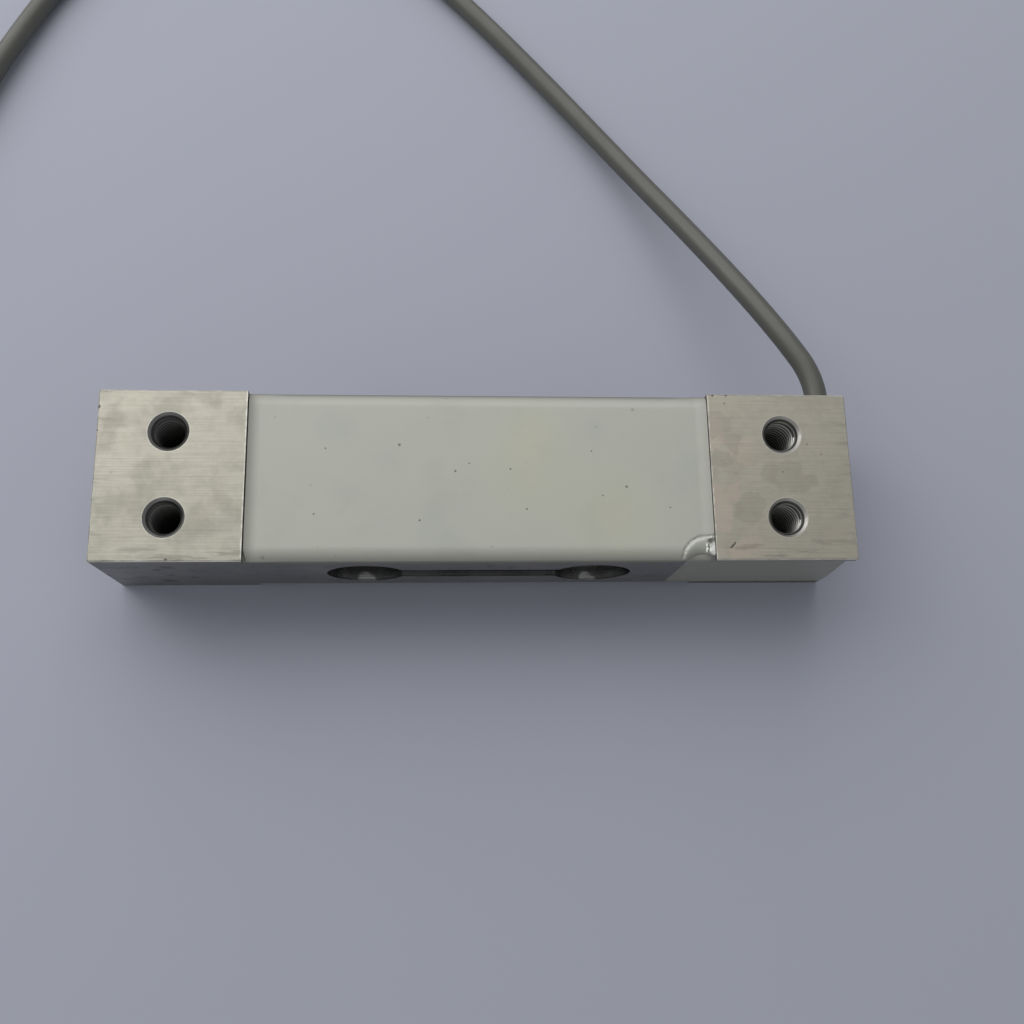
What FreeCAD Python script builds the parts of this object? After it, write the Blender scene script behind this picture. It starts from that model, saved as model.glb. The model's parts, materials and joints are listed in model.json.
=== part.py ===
import FreeCAD, Part
import math
import os

# Single point load cell: a one-piece aluminium bending beam with a binocular opening, foil
# strain gauges bonded over its four thin webs, a trim board in a side pocket, white silicone
# potting over all of it, and a four-core screened lead.
# Millimetres. +X runs along the beam to the lead's (fixed) end, +Y to the side where the lead
# comes out, +Z up. The origin is the middle of the beam's underside.

V = FreeCAD.Vector
UP = V(0, 0, 1)
ALONG = V(1, 0, 0)
ACROSS = V(0, 1, 0)

# Beam
beam_length = 130.0
beam_width = 30.0
beam_height = 22.0
edge_break = 0.25
corner_round = 0.5            # upright edges of the fixed end
end_block = 25.0              # full-height block at each end
recess_depth = 2.0            # gauge recess between the blocks, on top and underside
web_bore = 13.7               # the two bores of the binocular opening
web_bore_pitch = 40.0
slot_height = 6.0             # slot that joins the two bores
thread_size = 6.0             # tapped holes, at the thread's major diameter
hole_from_end = 12.0
hole_pitch_y = 15.0
mouth_size = 7.0              # countersunk mouth of a tapped hole
channel_length = 5.0          # the side pocket runs this far past the end block, for the wires
pocket_depth = 3.0            # side pocket, open at the fixed end's face
pocket_lip = 1.0

# Potting
potting_sink = 0.8            # silicone surface below the beam's top and underside
meniscus_width = 2.0
shoulder_radius = 1.1
side_sink = 1.1               # side pocket's silicone below the beam's side, at its deepest
side_low_sink = 0.25          # the same at the pocket's lower lip
side_meniscus = 3.0
scoop_radius = 5.1            # corner where the silicone sags over the wires
scoop_outside = 0.8
scoop_fall_radius = 8.5

# Strain gauges, terminals and their wires
carrier_length = 9.0
carrier_width = 6.4
carrier_thickness = 0.12
grid_thickness = 0.06
grid_lines = 8
grid_line_width = 0.25
grid_line_pitch = 0.45
grid_length = 4.0
tab_gap = 0.4
tab_length = 1.6
tab_width = 1.3
terminal_length = 14.0
terminal_width = 4.6
terminal_thickness = 0.4
terminal_offset = 7.5         # terminals sit towards the side pocket
terminal_pads = 5
terminal_pad_size = 1.6
jumper_size = 0.24
jumper_rise = 0.3
link_size = 0.4
link_count = 3
link_pitch = 0.85
link_bend = 2.5
wire_gap = 0.03

# Trim board in the side pocket
board_length = 14.5
board_height = 12.0
board_thickness = 0.8
board_from_end = 9.5
pad_size = 1.2
pad_inset = 1.0
pad_pitch = 1.5
core_pad_pitch = 2.6
pad_thickness = 0.06
solder_height = 0.6
resistor_length = 2.0
resistor_width = 1.25
resistor_height = 0.5
resistor_count = 3
resistor_pitch = 3.0

# Lead
cable_size = 4.0
seal_wall = 0.25
seal_length = 14.0
entry_from_end = 3.5
entry_below_top = 4.5
jacket_inset = 3.0            # the jacket stops this far short of the pocket
core_size = 0.9
core_gap = 0.05
coil_turn_radius = 22.0       # middle of the two turns that lie side by side
inner_bend_radius = 16.0
inner_bend_angle = 130.0
second_turn_angle = 105.0
coil_run_in = 16.0
tie_thickness = 0.6
tie_width = 2.5
tie_gap = 0.1
tie_head_length = 4.4
tie_head_height = 2.2
sleeve_wall = 0.4
sleeve_length = 7.0
sleeve_overlap = 3.5
lead_size = 1.2
lead_length = 20.0
lead_steps = 4
lead_bend_radius = 8.5
tip_size = 0.7
tip_length = 5.0
drain_size = 0.5

# Route of the lead from the beam to its coil, as chosen
cable_route = [
    (61.5, 15.0, 17.5), (61.5, 19.7, 17.5), (56.9, 28.0, 16.6), (50.7, 39.0, 13.6),
    (42.3, 53.5, 8.6), (31.1, 70.0, 4.3), (17.1, 88.5, 2.2), (0.5, 107.5, 2.0),
    (-19.0, 127.0, 2.0), (-42.0, 136.0, 2.0), (-66.0, 131.5, 2.0), (-83.5, 116.0, 2.0),
    (-94.5, 95.0, 2.7), (-101.5, 78.0, 2.7),
]

half_length = beam_length / 2
half_width = beam_width / 2
half_recess = half_length - end_block
mid_height = beam_height / 2
recess_floor = beam_height - recess_depth
potting_level = beam_height - potting_sink
pocket_left = half_recess - channel_length
pocket_floor = -half_width + pocket_depth
entry_x = half_length - entry_from_end
entry_height = beam_height - entry_below_top
board_right = half_length - board_from_end
board_left = board_right - board_length
board_face = pocket_floor - board_thickness
coil_height = tie_thickness + tie_gap + cable_size / 2
outer_turn = coil_turn_radius + cable_size / 2
inner_turn = coil_turn_radius - cable_size / 2


def box(x0, x1, y0, y1, z0, z1):
    return Part.makeBox(abs(x1 - x0), y1 - y0, z1 - z0, V(min(x0, x1), y0, z0))


def rod(size, start, end):
    return Part.makeCylinder(size / 2, (end - start).Length, start, end - start)


def flipped(shape):
    """The same piece on the underside."""
    return shape.mirror(V(0, 0, mid_height), UP)


def cut_all(shape, tools):
    for tool in tools:
        shape = shape.cut(tool)
    return shape


def rounded_path(points, first_share=0.45):
    """Straight runs joined by tangent arcs, each as large as its two runs allow."""
    edges = []
    radii = []
    start = points[0]
    for before, corner, after in zip(points, points[1:], points[2:]):
        run_in = (corner - before).normalize()
        run_out = (after - corner).normalize()
        half_turn = run_in.getAngle(run_out) / 2
        share = first_share if before is points[0] else 0.45
        reach = min(share * (corner - before).Length, 0.45 * (after - corner).Length)
        radius = reach / math.tan(half_turn)
        radii.append(radius)
        arc_start = corner - run_in * reach
        arc_end = corner + run_out * reach
        inward = (run_out - run_in).normalize()
        arc_mid = corner + inward * (radius / math.cos(half_turn) - radius)
        edges.append(Part.LineSegment(start, arc_start).toShape())
        edges.append(Part.Arc(arc_start, arc_mid, arc_end).toShape())
        start = arc_end
    edges.append(Part.LineSegment(start, points[-1]).toShape())
    return Part.Wire(edges), radii


def swept(size, path, start, heading):
    section = Part.Wire([Part.makeCircle(size / 2, start, heading)])
    return path.makePipeShell([section], True, False)


def wire_through(size, points):
    path, radii = rounded_path(points)
    return swept(size, path, points[0], points[1] - points[0])


def tapped_hole(x, y):
    """Through hole with a countersunk mouth at each end."""
    lead_in = (mouth_size - thread_size) / 2
    outline = [V(0, 0, 0), V(mouth_size / 2, 0, 0), V(thread_size / 2, 0, lead_in)]
    outline += [V(thread_size / 2, 0, beam_height - lead_in)]
    outline += [V(mouth_size / 2, 0, beam_height), V(0, 0, beam_height), V(0, 0, 0)]
    hole = Part.Face(Part.makePolygon(outline)).revolve(V(0, 0, 0), UP, 360)
    hole.translate(V(x, y, 0))
    return hole


def binocular_opening():
    long_y = V(0, beam_width + 2, 0)
    opening = box(-web_bore_pitch / 2, web_bore_pitch / 2, -half_width - 1, half_width + 1,
                  mid_height - slot_height / 2, mid_height + slot_height / 2)
    for side in (-1, 1):
        start = V(side * web_bore_pitch / 2, -half_width - 1, mid_height)
        opening = opening.fuse(rod(web_bore, start, start + long_y))
    return opening.removeSplitter()


def spring_element():
    beam = box(-half_length, half_length, -half_width, half_width, 0, beam_height)
    upright = [edge for edge in beam.Edges if all(v.X > 0 for v in edge.Vertexes)
               and abs(edge.tangentAt(0).z) > 0.5]
    beam = beam.makeFillet(corner_round, upright)
    sharp = [edge for edge in beam.Edges if edge.BoundBox.ZLength < 1e-3 or edge.BoundBox.XMax < 0]
    beam = beam.makeChamfer(edge_break, sharp)
    recess = box(-half_recess, half_recess, -half_width - 1, half_width + 1,
                 recess_floor, beam_height + 1)
    pocket = box(pocket_left, half_length + 1, -half_width - 1, pocket_floor,
                 pocket_lip, beam_height - pocket_lip)
    entry = rod(cable_size + 2 * seal_wall, V(entry_x, pocket_floor - 1, entry_height),
                V(entry_x, half_width + 1, entry_height))
    hole_x = half_length - hole_from_end
    holes = [tapped_hole(x * hole_x, y * hole_pitch_y / 2) for x in (-1, 1) for y in (-1, 1)]
    return cut_all(beam, [recess, flipped(recess), binocular_opening(), pocket, entry] + holes)


def recess_potting():
    """Silicone in the gauge recess: it climbs to both steps and is rounded at both sides."""
    flat_end = half_recess - meniscus_width
    radius = (meniscus_width ** 2 + potting_sink ** 2) / (2 * potting_sink)
    angle = math.asin(meniscus_width / radius) / 2
    rise_x = flat_end + radius * math.sin(angle)
    rise_z = potting_level + radius * (1 - math.cos(angle))
    y = -half_width
    right = Part.Arc(V(flat_end, y, potting_level), V(rise_x, y, rise_z), V(half_recess, y, beam_height))
    left = Part.Arc(V(-half_recess, y, beam_height), V(-rise_x, y, rise_z),
                    V(-flat_end, y, potting_level))
    floor_right = V(half_recess, y, recess_floor)
    floor_left = V(-half_recess, y, recess_floor)
    outline = [
        Part.LineSegment(floor_left, floor_right).toShape(),
        Part.LineSegment(floor_right, V(half_recess, y, beam_height)).toShape(),
        right.toShape(),
        Part.LineSegment(V(flat_end, y, potting_level), V(-flat_end, y, potting_level)).toShape(),
        left.toShape(),
        Part.LineSegment(V(-half_recess, y, beam_height), floor_left).toShape(),
    ]
    fill = Part.Face(Part.Wire(Part.__sortEdges__(outline))).extrude(V(0, beam_width, 0))
    shoulders = [edge for edge in fill.Edges
                 if all(abs(abs(v.Y) - half_width) < 1e-6 and v.Z > recess_floor + 1e-6
                        for v in edge.Vertexes)
                 and abs(edge.Vertexes[0].X - edge.Vertexes[-1].X) > 1e-6]
    radius = min(shoulder_radius, 0.9 * (recess_depth - potting_sink))
    return fill.makeFillet(radius, shoulders)


def wire_scoop():
    """What the silicone lacks at the corner where it sags over the wires."""
    reach = pocket_depth + meniscus_width
    column = rod(2 * scoop_radius, V(half_recess, -half_width - scoop_outside, recess_floor),
                 V(half_recess, -half_width - scoop_outside, beam_height + 1))
    fall_y = -half_width - scoop_outside + scoop_radius
    fall_z = potting_level - scoop_fall_radius
    sag = rod(2 * scoop_fall_radius, V(half_recess - scoop_radius - reach, fall_y, fall_z),
              V(half_recess + reach, fall_y, fall_z))
    return column.cut(sag)


def side_potting():
    """Silicone in the side pocket, hollowed by shrinkage, with a meniscus at the upper lip."""
    low = pocket_lip
    high = beam_height - pocket_lip
    deep = high - side_meniscus
    deep_y = -half_width + side_sink
    low_y = -half_width + side_low_sink
    middle = V(pocket_left, deep_y - 0.2 * (side_sink - side_low_sink), (low + deep) / 2)
    outline = [
        Part.LineSegment(V(pocket_left, low_y, low), V(pocket_left, pocket_floor, low)).toShape(),
        Part.LineSegment(V(pocket_left, pocket_floor, low), V(pocket_left, pocket_floor, high)).toShape(),
        Part.LineSegment(V(pocket_left, pocket_floor, high), V(pocket_left, low_y, high)).toShape(),
        Part.Arc(V(pocket_left, low_y, high),
                 V(pocket_left, deep_y - 0.3 * (side_sink - side_low_sink), high - 0.3 * side_meniscus),
                 V(pocket_left, deep_y, deep)).toShape(),
        Part.Arc(V(pocket_left, deep_y, deep), middle, V(pocket_left, low_y, low)).toShape(),
    ]
    fill = Part.Face(Part.Wire(Part.__sortEdges__(outline))).extrude(V(half_length - pocket_left, 0, 0))
    above = box(pocket_left - 1, half_recess, -half_width - 1, half_width, recess_floor, beam_height + 1)
    return cut_all(fill, [above, flipped(above)])


def gauge(x):
    """Carrier film, foil grid and solder tabs of one strain gauge, on the top recess's floor."""
    top = recess_floor + carrier_thickness
    foil = top + grid_thickness
    carrier = box(x - carrier_length / 2, x + carrier_length / 2, -carrier_width / 2,
                  carrier_width / 2, recess_floor, top)
    inward = -1 if x > 0 else 1
    outer_end = x - inward * (grid_length + tab_gap + tab_length) / 2
    inner_end = outer_end + inward * grid_length
    tab_start = inner_end + inward * tab_gap
    tab_end = tab_start + inward * tab_length
    half_line = grid_line_width / 2
    line_ys = [(i - (grid_lines - 1) / 2) * grid_line_pitch for i in range(grid_lines)]
    pieces = []
    for y in line_ys:
        end = tab_start if y in (line_ys[0], line_ys[-1]) else inner_end
        pieces.append(box(outer_end, end, y - half_line, y + half_line, top, foil))
    for i, y in enumerate(line_ys[:-1]):
        end = inner_end if i % 2 else outer_end
        pieces.append(box(end - half_line, end + half_line, y - half_line,
                          y + grid_line_pitch + half_line, top, foil))
    tab_y = line_ys[-1] + half_line - tab_width / 2
    for side in (-1, 1):
        pieces.append(box(tab_start, tab_end, side * tab_y - tab_width / 2,
                          side * tab_y + tab_width / 2, top, foil))
    grid = pieces[0].multiFuse(pieces[1:]).removeSplitter()
    return carrier, grid, [V((tab_start + tab_end) / 2, side * tab_y, foil) for side in (-1, 1)]


def terminal_pad_centres():
    """Tops of the terminal strip's pads, on the top recess's floor."""
    step = (terminal_length - 1.5 * terminal_pad_size) / (terminal_pads - 1)
    z = recess_floor + terminal_thickness + pad_thickness
    return [V((i - (terminal_pads - 1) / 2) * step, -terminal_offset, z) for i in range(terminal_pads)]


def terminal_strip():
    """Backing strip and its copper pads."""
    strip = box(-terminal_length / 2, terminal_length / 2, -terminal_offset - terminal_width / 2,
                -terminal_offset + terminal_width / 2, recess_floor, recess_floor + terminal_thickness)
    half_x = terminal_pad_size / 2
    half_y = 0.35 * terminal_width
    pads = [box(pad.x - half_x, pad.x + half_x, pad.y - half_y, pad.y + half_y,
                pad.z - pad_thickness, pad.z) for pad in terminal_pad_centres()]
    return strip, pads


def jumper_wires(left_tabs, right_tabs):
    """Fine enamelled wires from the gauge tabs to the terminal strip."""
    pads = terminal_pad_centres()
    lift = UP * (jumper_size / 2 + wire_gap)
    pairs = [(left_tabs[0], pads[0]), (left_tabs[1], pads[1]),
             (right_tabs[1], pads[-2]), (right_tabs[0], pads[-1])]
    wires = []
    for tab, pad in pairs:
        start = tab + lift
        end = pad + V(0, 0.2 * terminal_width, 0) + lift
        near = start * 0.75 + end * 0.25
        far = start * 0.25 + end * 0.75
        near.z = far.z = end.z + jumper_rise
        wires.append(wire_through(jumper_size, [start, near, far, end]))
    return wires


def link_pad_height(i):
    """Height on the board of a link wire's pad: the upper group's lowest is i = 0."""
    return mid_height + (i + 0.5) * pad_pitch


def link_wires():
    """Insulated wires from the terminal strip, over the recess's edge, to the trim board."""
    pads = terminal_pad_centres()
    lift = link_size / 2 + wire_gap
    drop_y = board_face - pad_thickness - lift
    lane_z = pads[0].z + lift
    wires = []
    for i in range(link_count):
        pad = pads[i + 1]
        start = V(pad.x, pad.y - 0.2 * terminal_width, lane_z)
        lane_y = start.y - (link_count - i) * link_pitch
        drop_x = half_recess - (link_count - i) * channel_length / (link_count + 2)
        pad_z = link_pad_height(i)
        wires.append(wire_through(link_size, [
            start, V(start.x + link_bend, lane_y, lane_z), V(drop_x - link_bend, lane_y, lane_z),
            V(drop_x, drop_y, lane_z), V(drop_x, drop_y, pad_z),
            V(board_left + pad_inset, drop_y, pad_z)]))
    return wires


def trim_board():
    """Board on the pocket's floor, with its pads and chip resistors."""
    board = box(board_left, board_right, board_face, pocket_floor,
                mid_height - board_height / 2, mid_height + board_height / 2)
    places = [(board_left + pad_inset, z) for i in range(link_count)
              for z in (link_pad_height(i), beam_height - link_pad_height(i))]
    places += [(board_right - pad_inset, core_pad_height(i)) for i in range(4)]
    half = pad_size / 2
    pads = [box(x - half, x + half, board_face - pad_thickness, board_face, z - half, z + half)
            for x, z in places]
    joints = [Part.makeCone(half, half / 2, solder_height, V(x, board_face - pad_thickness, z), -ACROSS)
              for x, z in places]
    middle = (board_left + board_right) / 2
    resistors = []
    for i in range(resistor_count):
        z = mid_height + (i - (resistor_count - 1) / 2) * resistor_pitch
        resistors.append(box(middle - resistor_length / 2, middle + resistor_length / 2,
                             board_face - resistor_height, board_face,
                             z - resistor_width / 2, z + resistor_width / 2))
    return board, pads, joints, resistors


def core_pad_height(i):
    return mid_height + (1.5 - i) * core_pad_pitch


def core(i):
    """One core of the lead, from the jacket's end in the beam to the trim board."""
    z = entry_height + (1.5 - i) * (core_size + core_gap)
    y = board_face - pad_thickness - wire_gap - core_size / 2
    bend_x = entry_x - core_size * 2.1 - (3 - i) * (core_size + core_gap)
    return wire_through(core_size, [
        V(entry_x, pocket_floor + jacket_inset, z), V(entry_x, y, z), V(bend_x, y, z),
        V(board_right - pad_inset, y, core_pad_height(i))])


def cable_entry():
    """The jacket inside the beam, and the seal round it."""
    inner_end = V(entry_x, pocket_floor + jacket_inset, entry_height)
    mouth = V(entry_x, half_width, entry_height)
    jacket = rod(cable_size, inner_end, mouth)
    seal = rod(cable_size + 2 * seal_wall, mouth - ACROSS * seal_length, mouth).cut(jacket)
    return jacket, seal


def cable_tube():
    points = [V(*point) for point in cable_route]
    path, radii = rounded_path(points, 0.9)
    tube = swept(cable_size, path, points[0], points[1] - points[0])
    length = path.Length
    print("tube length", round(length, 1), "radii", [round(r, 1) for r in radii])
    print("tube volume over section times length", round(tube.Volume / (math.pi * cable_size ** 2 / 4 * length), 4))
    return tube


def turned(direction, degrees):
    """The direction turned clockwise, seen from above."""
    return FreeCAD.Rotation(UP, -degrees).multVec(direction)


def coil_frame():
    """Centre of the coil, the direction to where the lead meets it, and that point."""
    start = V(*cable_route[-1])
    heading = (start - V(*cable_route[-2])).normalize()
    meeting = start + heading * coil_run_in
    centre = meeting + heading.cross(UP) * outer_turn
    return centre, (meeting - centre).normalize(), start


def tail_frame():
    """Where the inner turn's last bend ends, and its heading there."""
    centre, to_start, start = coil_frame()
    leave = turned(to_start, second_turn_angle)
    bend_centre = centre + leave * (inner_turn - inner_bend_radius)
    points = [bend_centre + turned(leave, inner_bend_angle * share) * inner_bend_radius
              for share in (0, 0.5, 1)]
    return points, leave.cross(UP), turned(leave, inner_bend_angle).cross(UP)


def cable_coil():
    """Outer shape of the coiled lead: two turns side by side, its run-in and its inner tail."""
    centre, to_start, start = coil_frame()
    half = cable_size / 2
    inner = V(inner_turn, 0, 0)
    outer = V(outer_turn, 0, 0)
    outline = [
        Part.LineSegment(inner - UP * half, outer - UP * half).toShape(),
        Part.Arc(outer - UP * half, outer + ALONG * half, outer + UP * half).toShape(),
        Part.LineSegment(outer + UP * half, inner + UP * half).toShape(),
        Part.Arc(inner + UP * half, inner - ALONG * half, inner - UP * half).toShape(),
    ]
    ring = Part.Face(Part.Wire(outline)).revolve(V(0, 0, 0), UP, 360)
    ring.translate(centre)
    run_in = rod(cable_size, start, centre + to_start * outer_turn)
    points, leave_heading, heading = tail_frame()
    jacket_end = points[2] + heading * (sleeve_overlap + wire_gap)
    path = Part.Wire([Part.Arc(*points).toShape(), Part.LineSegment(points[2], jacket_end).toShape()])
    tail = swept(cable_size, path, points[0], leave_heading)
    return ring.fuse(run_in).fuse(tail)


def coil_tie():
    """Nylon tie round the two turns, with its head on top."""
    reach = cable_size + tie_gap
    opening = box(coil_turn_radius - reach, coil_turn_radius + reach, -tie_width, tie_width,
                  tie_thickness, tie_thickness + 2 * tie_gap + cable_size)
    top = 2 * (tie_thickness + tie_gap) + cable_size
    band = box(coil_turn_radius - reach - tie_thickness, coil_turn_radius + reach + tie_thickness,
               -tie_width / 2, tie_width / 2, 0, top)
    band = band.makeFillet(2 * tie_thickness, [e for e in band.Edges if abs(e.tangentAt(0).y) > 0.9])
    head = box(coil_turn_radius - tie_head_length / 2, coil_turn_radius + tie_head_length / 2,
               -0.8 * tie_width, 0.8 * tie_width, top, top + tie_head_height)
    tongue = box(coil_turn_radius, coil_turn_radius + 1.2 * tie_head_length, -0.4 * tie_width,
                 0.4 * tie_width, top + tie_head_height / 2, top + tie_head_height / 2 + tie_thickness)
    tie = band.cut(opening).fuse(head).fuse(tongue)
    centre, to_start, start = coil_frame()
    place = turned(to_start, second_turn_angle / 2)
    tie.rotate(V(0, 0, 0), UP, math.degrees(math.atan2(place.y, place.x)))
    tie.translate(V(centre.x, centre.y, 0))
    return tie.removeSplitter()


def end_sleeve():
    """Shrunk sleeve over the jacket's end and the first of the bare leads."""
    points, leave_heading, heading = tail_frame()
    start = points[2] + heading * wire_gap
    end = start + heading * sleeve_length
    return rod(cable_size + 2 * sleeve_wall, start, end).cut(rod(cable_size, start, end))


def loose_lead(size, sideways, height, radius):
    """One bare lead: out of the sleeve, then round inside the coil and down to rest."""
    points, leave_heading, heading = tail_frame()
    right = heading.cross(UP)
    inside = points[2] + heading * (sleeve_overlap + wire_gap)
    outside = inside + heading * (sleeve_length - sleeve_overlap + lead_size / 2)
    offset = UP * height - right * sideways
    bend_centre = outside + right * lead_bend_radius
    step = math.degrees(lead_length / lead_steps / radius)
    route = [inside + offset, outside + offset]
    for i in range(1, lead_steps + 1):
        vertex = bend_centre - turned(right, i * step) * radius
        vertex.z = (size / 2 + 2 * route[0].z) / 3 if i == 1 else size / 2
        route.append(vertex)
    end = route[-1]
    direction = (end - route[-2]).normalize()
    return wire_through(size, route), rod(tip_size, end, end + direction * tip_length)


def export(name, shape):
    if isinstance(shape, list):
        shape = Part.makeCompound(shape)
    shape.exportStep("parts/" + name + ".step")


def main():
    os.makedirs("parts", exist_ok=True)
    half_pitch = web_bore_pitch / 2
    top_gauges = {"load": gauge(-half_pitch), "fixed": gauge(half_pitch)}
    strip, strip_pads = terminal_strip()
    jumpers = jumper_wires(top_gauges["load"][2], top_gauges["fixed"][2])
    links = link_wires()
    on_top = [strip] + strip_pads + jumpers
    for end, (carrier, grid, tabs) in top_gauges.items():
        on_top += [carrier, grid]
        export("gauge_carrier_top_" + end, carrier)
        export("gauge_carrier_underside_" + end, flipped(carrier))
        export("gauge_grid_top_" + end, grid)
        export("gauge_grid_underside_" + end, flipped(grid))
    under_links = [flipped(link) for link in links]
    export("terminal_strip_top", strip)
    export("terminal_strip_underside", flipped(strip))
    export("terminal_pads_top", strip_pads)
    export("terminal_pads_underside", [flipped(pad) for pad in strip_pads])
    export("jumper_wires_top", jumpers)
    export("jumper_wires_underside", [flipped(jumper) for jumper in jumpers])
    export("link_wires_top", links)
    export("link_wires_underside", under_links)

    board, board_pads, joints, resistors = trim_board()
    cores = [core(i) for i in range(4)]
    joints = [cut_all(joint, links + under_links + cores) for joint in joints]
    export("trim_board", board)
    export("board_pads", board_pads)
    export("solder_joints", joints)
    export("trim_resistors", resistors)
    for colour, piece in zip(("red", "black", "green", "white"), cores):
        export("core_" + colour, piece)

    export("spring_element", spring_element())
    recess_fill = recess_potting()
    export("top_potting", recess_fill.cut(wire_scoop()).cut(on_top + links))
    export("underside_potting", flipped(recess_fill).cut([flipped(piece) for piece in on_top] + under_links))
    in_pocket = [board] + board_pads + joints + resistors + links + under_links + cores
    export("side_potting", side_potting().cut(in_pocket))

    jacket, seal = cable_entry()
    export("cable_in_beam", jacket)
    export("cable_entry_seal", seal)
    export("cable_tube", cable_tube())
    export("cable_coil", cable_coil())
    export("coil_tie", coil_tie())
    export("end_sleeve", end_sleeve())
    spread = lead_size / 2 + wire_gap
    tips = []
    for colour, side, level, radius in (("red", -1, -1, 5.1), ("black", -1, 1, 7.2),
                                        ("white", 1, -1, 8.7), ("green", 1, 1, 10.6)):
        lead, tip = loose_lead(lead_size, side * spread, level * spread, radius)
        export("lead_" + colour, lead)
        tips.append(tip)
    valley = spread + math.sqrt((lead_size / 2 + drain_size / 2 + wire_gap) ** 2 - spread ** 2)
    drain, drain_tip = loose_lead(drain_size, -valley, 0, 4.0)
    export("shield_drain", drain)
    export("lead_tips", tips)


main()
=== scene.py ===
import json
import math
import bpy
import bmesh
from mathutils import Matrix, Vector, noise


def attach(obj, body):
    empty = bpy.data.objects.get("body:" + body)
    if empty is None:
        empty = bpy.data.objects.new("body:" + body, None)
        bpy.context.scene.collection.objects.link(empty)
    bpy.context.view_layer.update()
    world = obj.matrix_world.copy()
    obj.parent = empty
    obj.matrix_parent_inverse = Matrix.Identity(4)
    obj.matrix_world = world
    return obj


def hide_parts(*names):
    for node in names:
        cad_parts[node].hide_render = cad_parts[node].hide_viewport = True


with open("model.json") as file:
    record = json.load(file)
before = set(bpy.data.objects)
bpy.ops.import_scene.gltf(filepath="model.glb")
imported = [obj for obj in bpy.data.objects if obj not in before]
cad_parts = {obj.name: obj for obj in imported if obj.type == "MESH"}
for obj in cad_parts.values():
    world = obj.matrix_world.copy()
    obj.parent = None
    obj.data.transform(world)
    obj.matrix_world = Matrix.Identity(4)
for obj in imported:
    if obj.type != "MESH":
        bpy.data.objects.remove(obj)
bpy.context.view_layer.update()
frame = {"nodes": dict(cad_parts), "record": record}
nodes = frame["nodes"]
print("frame loaded:", len(nodes), "nodes")

mm = 0.001
weld = 0.001 * mm      # points nearer than this become one

view = {
    "place": (-8.48, -51.59, 202.22),     # mm
    "tilt": (14.064, -4.054, -0.994),     # degrees
    "lens": 38.5,
    "nearest": 5.0,                       # mm, nothing nearer is drawn
}


def makeCamera():
    data = bpy.data.cameras.new("camera")
    data.lens = view["lens"]
    data.clip_start = view["nearest"] * mm
    camera = bpy.data.objects.new("camera", data)
    bpy.context.scene.collection.objects.link(camera)
    camera.location = Vector(view["place"]) * mm
    camera.rotation_euler = [math.radians(angle) for angle in view["tilt"]]
    bpy.context.scene.camera = camera


# place and size in mm, power in watts; each lamp is turned to the middle of the floor
lamps = {
    "skyPanel": {"place": (-190, 470, 450), "size": (1000, 850), "power": 4.4,
                 "colour": (1.0, 0.99, 0.97)},
    "leftWindow": {"place": (-430, 230, 330), "size": (340, 340), "power": 0.5,
                   "colour": (1.0, 0.98, 0.95)},
    "frontGlow": {"place": (-60, -400, 45), "size": (300, 50), "power": 0.12,
                  "colour": (1.0, 0.98, 0.96)},
}
room = {"colour": (0.95, 0.98, 1.0), "strength": 0.35}
floor = {"size": 3.0, "colour": (0.385, 0.40, 0.475), "roughness": 0.85}


def makeRoom():
    scene = bpy.context.scene
    scene.view_settings.view_transform = "Standard"
    world = bpy.data.worlds.new("room")
    world.use_nodes = True
    back = world.node_tree.nodes["Background"]
    back.inputs["Color"].default_value = (*room["colour"], 1)
    back.inputs["Strength"].default_value = room["strength"]
    scene.world = world


def makeLamps():
    for name, lamp in lamps.items():
        data = bpy.data.lights.new(name, "AREA")
        data.shape = "RECTANGLE"
        data.size = lamp["size"][0] * mm
        data.size_y = lamp["size"][1] * mm
        data.energy = lamp["power"]
        data.color = lamp["colour"]
        light = bpy.data.objects.new(name, data)
        bpy.context.scene.collection.objects.link(light)
        light.location = Vector(lamp["place"]) * mm
        light.rotation_euler = light.location.to_track_quat("Z", "Y").to_euler()


def makeFloor():
    ground = bmesh.new()
    bmesh.ops.create_grid(ground, x_segments=1, y_segments=1, size=floor["size"])
    mesh = bpy.data.meshes.new("floor")
    ground.to_mesh(mesh)
    ground.free()
    plane = bpy.data.objects.new("floor", mesh)
    bpy.context.scene.collection.objects.link(plane)
    material = bpy.data.materials.new("floorPaper")
    material.use_nodes = True
    shader = material.node_tree.nodes["Principled BSDF"]
    shader.inputs["Base Color"].default_value = (*floor["colour"], 1)
    shader.inputs["Roughness"].default_value = floor["roughness"]
    mesh.materials.append(material)


lead = {
    "size": 4.0,
    "length": 0.5,
    # the same route as the solid's, in mm
    "route": [
        (61.5, 15.0, 17.5), (61.5, 19.7, 17.5), (56.9, 28.0, 16.6), (50.7, 39.0, 13.6),
        (42.3, 53.5, 8.6), (31.1, 70.0, 4.3), (17.1, 88.5, 2.2), (0.5, 107.5, 2.0),
        (-19.0, 127.0, 2.0), (-42.0, 136.0, 2.0), (-66.0, 131.5, 2.0), (-83.5, 116.0, 2.0),
        (-94.5, 95.0, 2.7), (-101.5, 78.0, 2.7),
    ],
    "coilCentre": (-129.78, 72.34, 2.7),
    "coilStart": -22.4,        # degrees, where the lead meets the outer turn
    "outerTurn": 24.0,
    "innerTurn": 20.0,
    "coiled": 465.0,           # degrees in the two turns
    "narrowsAfter": 240.0,     # where the outer turn begins to close in, and over how many degrees
    "narrowsOver": 120.0,
    "coilSteps": 22,
    "tailTurn": 16.0,
    "tailBend": 130.0,
    "tailSteps": 6,
    "tailEnd": 3.5,
    "alongSteps": 12,
    "roundSteps": 8,
}


def onTurn(middle, radius, degrees):
    angle = math.radians(degrees)
    return middle + radius * Vector((math.cos(angle), math.sin(angle), 0))


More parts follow.
